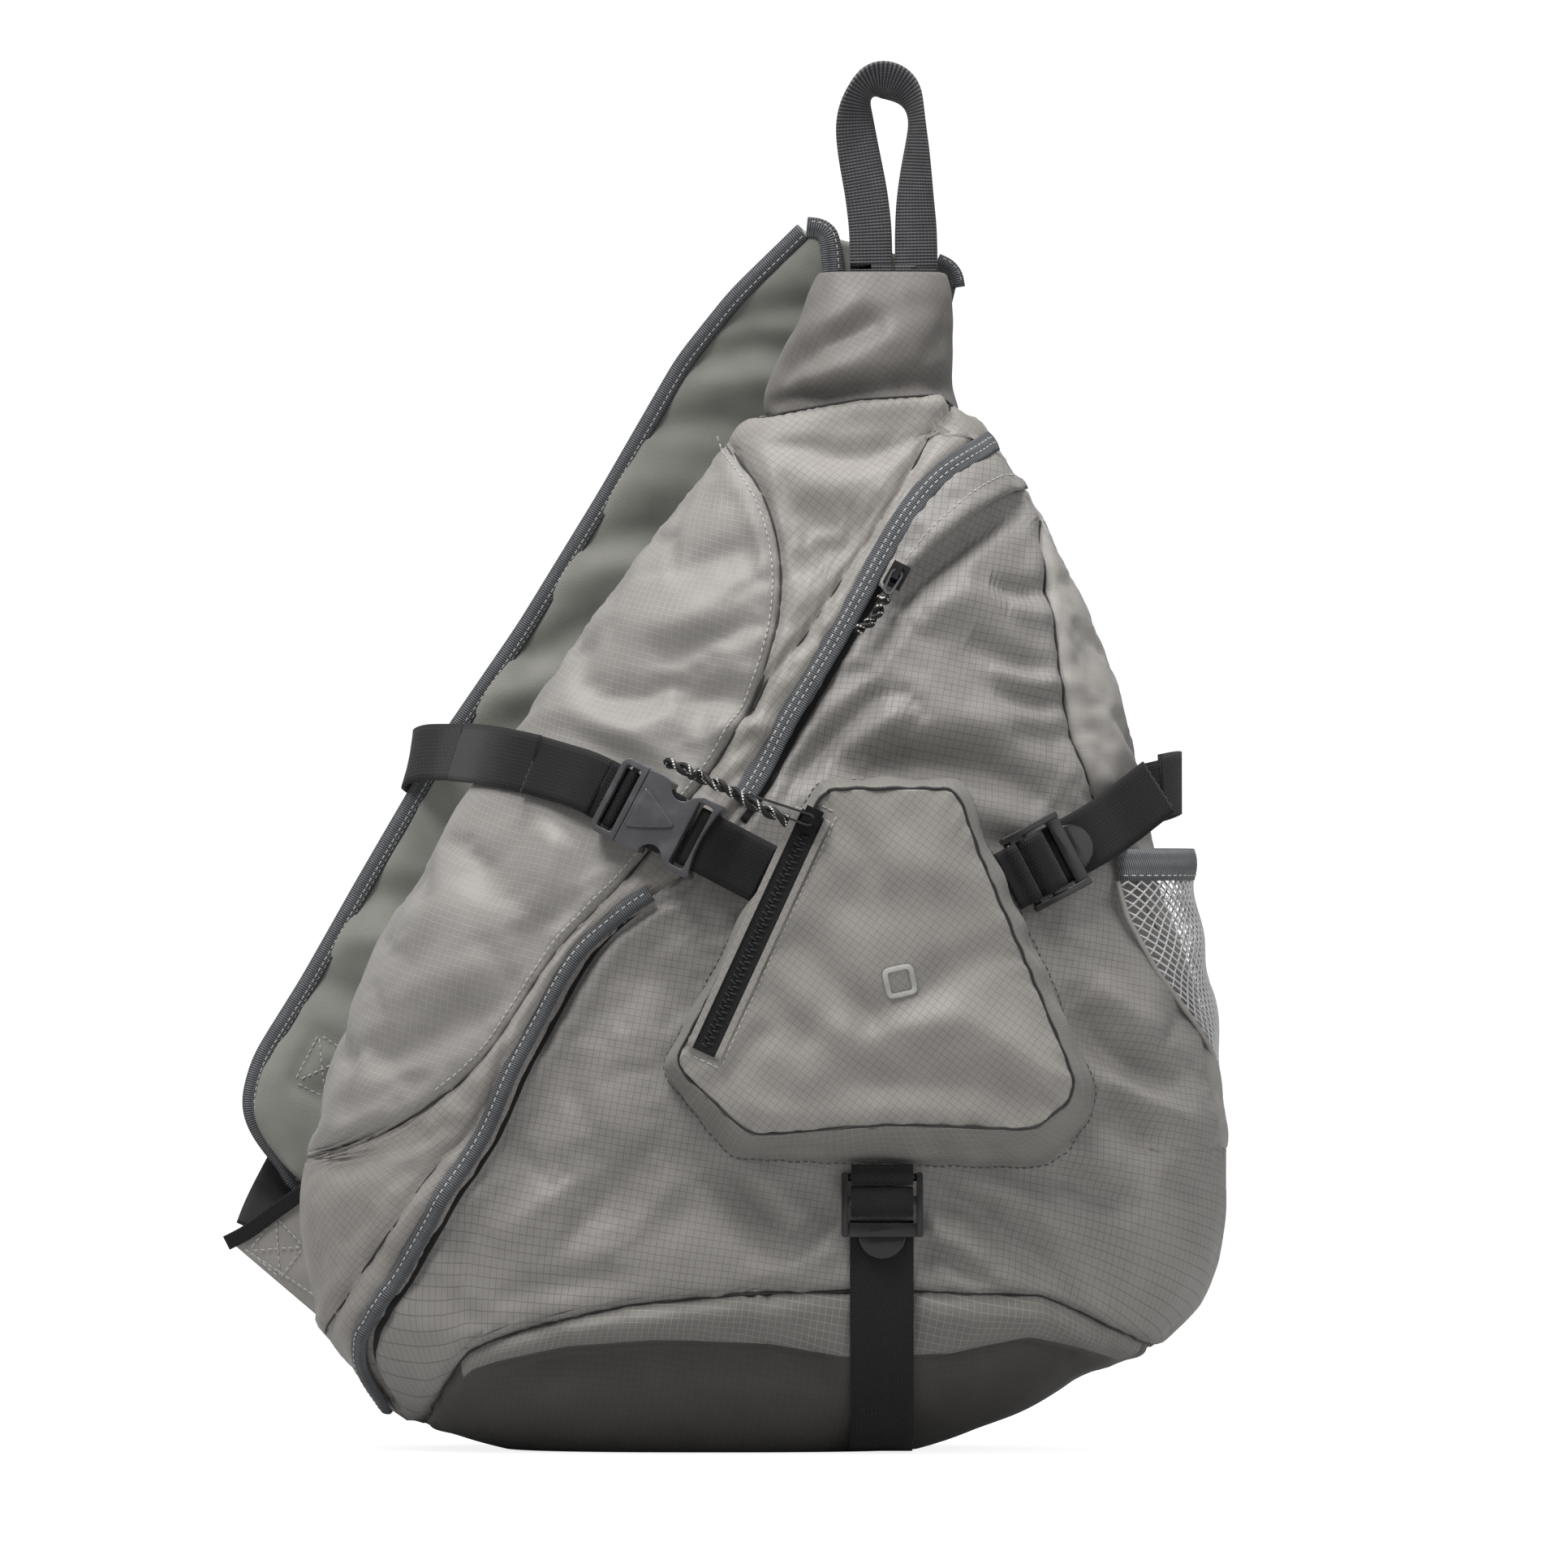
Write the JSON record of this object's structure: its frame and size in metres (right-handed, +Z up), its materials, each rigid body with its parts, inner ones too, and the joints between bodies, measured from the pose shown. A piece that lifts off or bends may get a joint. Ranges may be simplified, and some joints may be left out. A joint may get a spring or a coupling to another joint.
{
  "type": "sling bag",
  "caption": "Teardrop sling bag with padded shoulder strap, zipped front pocket, mesh side pocket, compression straps, side-release buckle, ladder locks and a webbing grab handle.",
  "frame": {"origin": "on the floor under the middle of the standing bag's bounding box", "axes": "+Z up, front pocket faces -Y, +X is the side with the mesh pocket"},
  "size_m": [0.3985, 0.2047, 0.554],
  "materials": {
    "ripstop": "mini-ripstop polyester, warm grey",
    "base_ripstop": "mini-ripstop polyester, darker base panel",
    "lining": "smooth greenish grey lining cloth",
    "foam": "closed-cell foam",
    "binding": "ribbed grosgrain binding",
    "handle_webbing": "charcoal polyester webbing",
    "webbing": "black polyester webbing",
    "buckle_plastic": "satin black acetal",
    "zip_tape": "woven zip tape",
    "zip_coil": "nylon coil",
    "slider_metal": "black painted zinc",
    "pull_cord": "braided cord, black with pale flecks",
    "mesh": "open diamond mesh",
    "thread": "embroidery thread"
  },
  "bodies": {
    "bag": {"base_panel": "base_ripstop", "front_panel": "ripstop", "side_panel": "ripstop", "moon_panel": "ripstop", "right_gusset": "ripstop", "back_panel": "lining", "back_foam": "foam", "head_panel": "ripstop", "main_zip_tape": "zip_tape", "storm_flap": "ripstop", "upper_binding": "binding", "lower_binding": "binding", "front_pocket_gusset": "ripstop", "front_pocket_face": "ripstop", "front_zip_tape": "zip_tape", "front_zip_chain": "zip_coil", "embroidered_patch": "thread", "mesh_pocket": "mesh", "mesh_pocket_trim": "binding", "handle_anchor": "handle_webbing", "strap_wing": "ripstop", "strap_webbing": "webbing", "buckle_female": "buckle_plastic", "female_webbing": "webbing", "buckle_strap": "webbing", "strap_crossing": "webbing", "rear_strap": "webbing", "right_strap": "webbing", "right_anchor_webbing": "webbing", "bottom_strap": "webbing", "bottom_anchor_webbing": "webbing"},
    "handle": {"grab_handle": "handle_webbing"},
    "shoulder_strap": {"strap_lining": "lining", "strap_foam": "foam", "strap_cover": "ripstop", "strap_binding": "binding", "strap_anchor_webbing": "webbing", "strap_wrap": "webbing"},
    "strap_lock": {"strap_ladder_lock": "buckle_plastic", "strap_lock_webbing": "webbing"},
    "buckle_male": {"buckle_male": "buckle_plastic", "male_webbing": "webbing"},
    "prong_upper": {"prong_upper": "buckle_plastic"},
    "prong_lower": {"prong_lower": "buckle_plastic"},
    "front_slider": {"front_zip_slider": "slider_metal"},
    "front_pull": {"front_pull_wire": "slider_metal", "front_pull_cord": "pull_cord", "front_pull_knot": "pull_cord"},
    "main_slider": {"main_zip_slider": "slider_metal"},
    "main_pull": {"main_pull_wire": "slider_metal", "main_pull_cord": "pull_cord"},
    "right_lock": {"right_ladder_lock": "buckle_plastic", "right_lock_webbing": "webbing"},
    "bottom_lock": {"bottom_ladder_lock": "buckle_plastic", "bottom_lock_webbing": "webbing"}
  },
  "joints": [
    {"name": "handle_flop", "type": "hinge", "parent": "bag", "child": "handle", "pos_m": [0.0675, 0.022, 0.4718], "axis": [1, 0, 0], "range_deg": [-35, 90]},
    {"name": "shoulder_strap_swing", "type": "hinge", "parent": "bag", "child": "shoulder_strap", "pos_m": [0.061, 0.044, 0.478], "axis": [0.9662, 0, -0.2577], "range_deg": [0, 6], "deforming": ["strap_webbing", "rear_strap", "strap_crossing"]},
    {"name": "strap_lock_tilt", "type": "hinge", "parent": "shoulder_strap", "child": "strap_lock", "pos_m": [-0.16, 0.0986, 0.137], "axis": [0.8829, 0, -0.4695], "range_deg": [0, 30]},
    {"name": "buckle_release", "type": "slide", "parent": "bag", "child": "buckle_male", "axis": [-0.8617, 0.2317, 0.4515], "range_m": [0, 0.028], "deforming": ["buckle_strap"]},
    {"name": "prong_upper_press", "type": "hinge", "parent": "buckle_male", "child": "prong_upper", "pos_m": [-0.03033, -0.06688, 0.26438], "axis": [0.2068, 0.9728, -0.1045], "range_deg": [0, 4], "stiffness_Nm_per_rad": 0.3},
    {"name": "prong_lower_press", "type": "hinge", "parent": "buckle_male", "child": "prong_lower", "pos_m": [-0.0396, -0.06682, 0.24666], "axis": [-0.2068, -0.9728, 0.1045], "range_deg": [0, 4], "stiffness_Nm_per_rad": 0.3},
    {"name": "front_zip_slide", "type": "slide", "parent": "bag", "child": "front_slider", "axis": [-0.4182, -0.0146, -0.9083], "range_m": [0, 0.085]},
    {"name": "front_pull_lift", "type": "hinge", "parent": "front_slider", "child": "front_pull", "pos_m": [0.0352, -0.10045, 0.24963], "axis": [0.3254, 0.0114, 0.9455], "range_deg": [0, 100]},
    {"name": "main_zip_slide", "type": "slide", "parent": "bag", "child": "main_slider", "axis": [-0.4548, -0.2762, -0.8467], "range_m": [0, 0.045]},
    {"name": "main_pull_lift", "type": "hinge", "parent": "main_slider", "child": "main_pull", "pos_m": [0.06897, -0.04196, 0.34841], "axis": [-0.8949, 0.0982, 0.4353], "range_deg": [0, 80]},
    {"name": "right_lock_tilt", "type": "hinge", "parent": "bag", "child": "right_lock", "pos_m": [0.11742, -0.06298, 0.22875], "axis": [0.463, 0.0195, -0.8861], "range_deg": [0, 30], "deforming": ["right_strap"]},
    {"name": "bottom_lock_tilt", "type": "hinge", "parent": "bag", "child": "bottom_lock", "pos_m": [0.06225, -0.07881, 0.10998], "axis": [-1, 0, 0], "range_deg": [0, 30], "deforming": ["bottom_strap"]}
  ]
}
